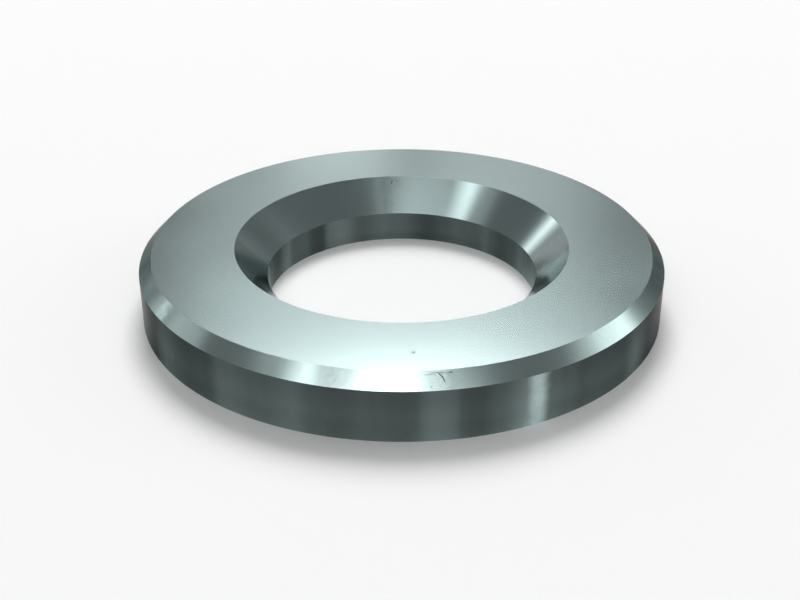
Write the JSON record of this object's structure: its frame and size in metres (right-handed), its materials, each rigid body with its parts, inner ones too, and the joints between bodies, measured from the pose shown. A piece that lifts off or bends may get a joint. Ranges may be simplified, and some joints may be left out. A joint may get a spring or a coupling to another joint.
{
  "type": "hardened washer",
  "caption": "Thick turned steel washer with a chamfered rim and a deep countersunk bore mouth, to seat a high-strength bolt whose head has a fillet under it.",
  "frame": {"origin": "on the axis of the bore, in the plane of the lower bearing face", "axes": "+Z along the bore, from the plain lower face to the countersunk upper face; X and Y lie in the lower face, and the ring is the same all round"},
  "size_m": [0.025, 0.025, 0.003],
  "materials": {
    "hardened_steel": "smooth ground steel, grey with a faint green cast, half gloss"
  },
  "bodies": {
    "root": {"washer": "hardened_steel"}
  },
  "joints": []
}
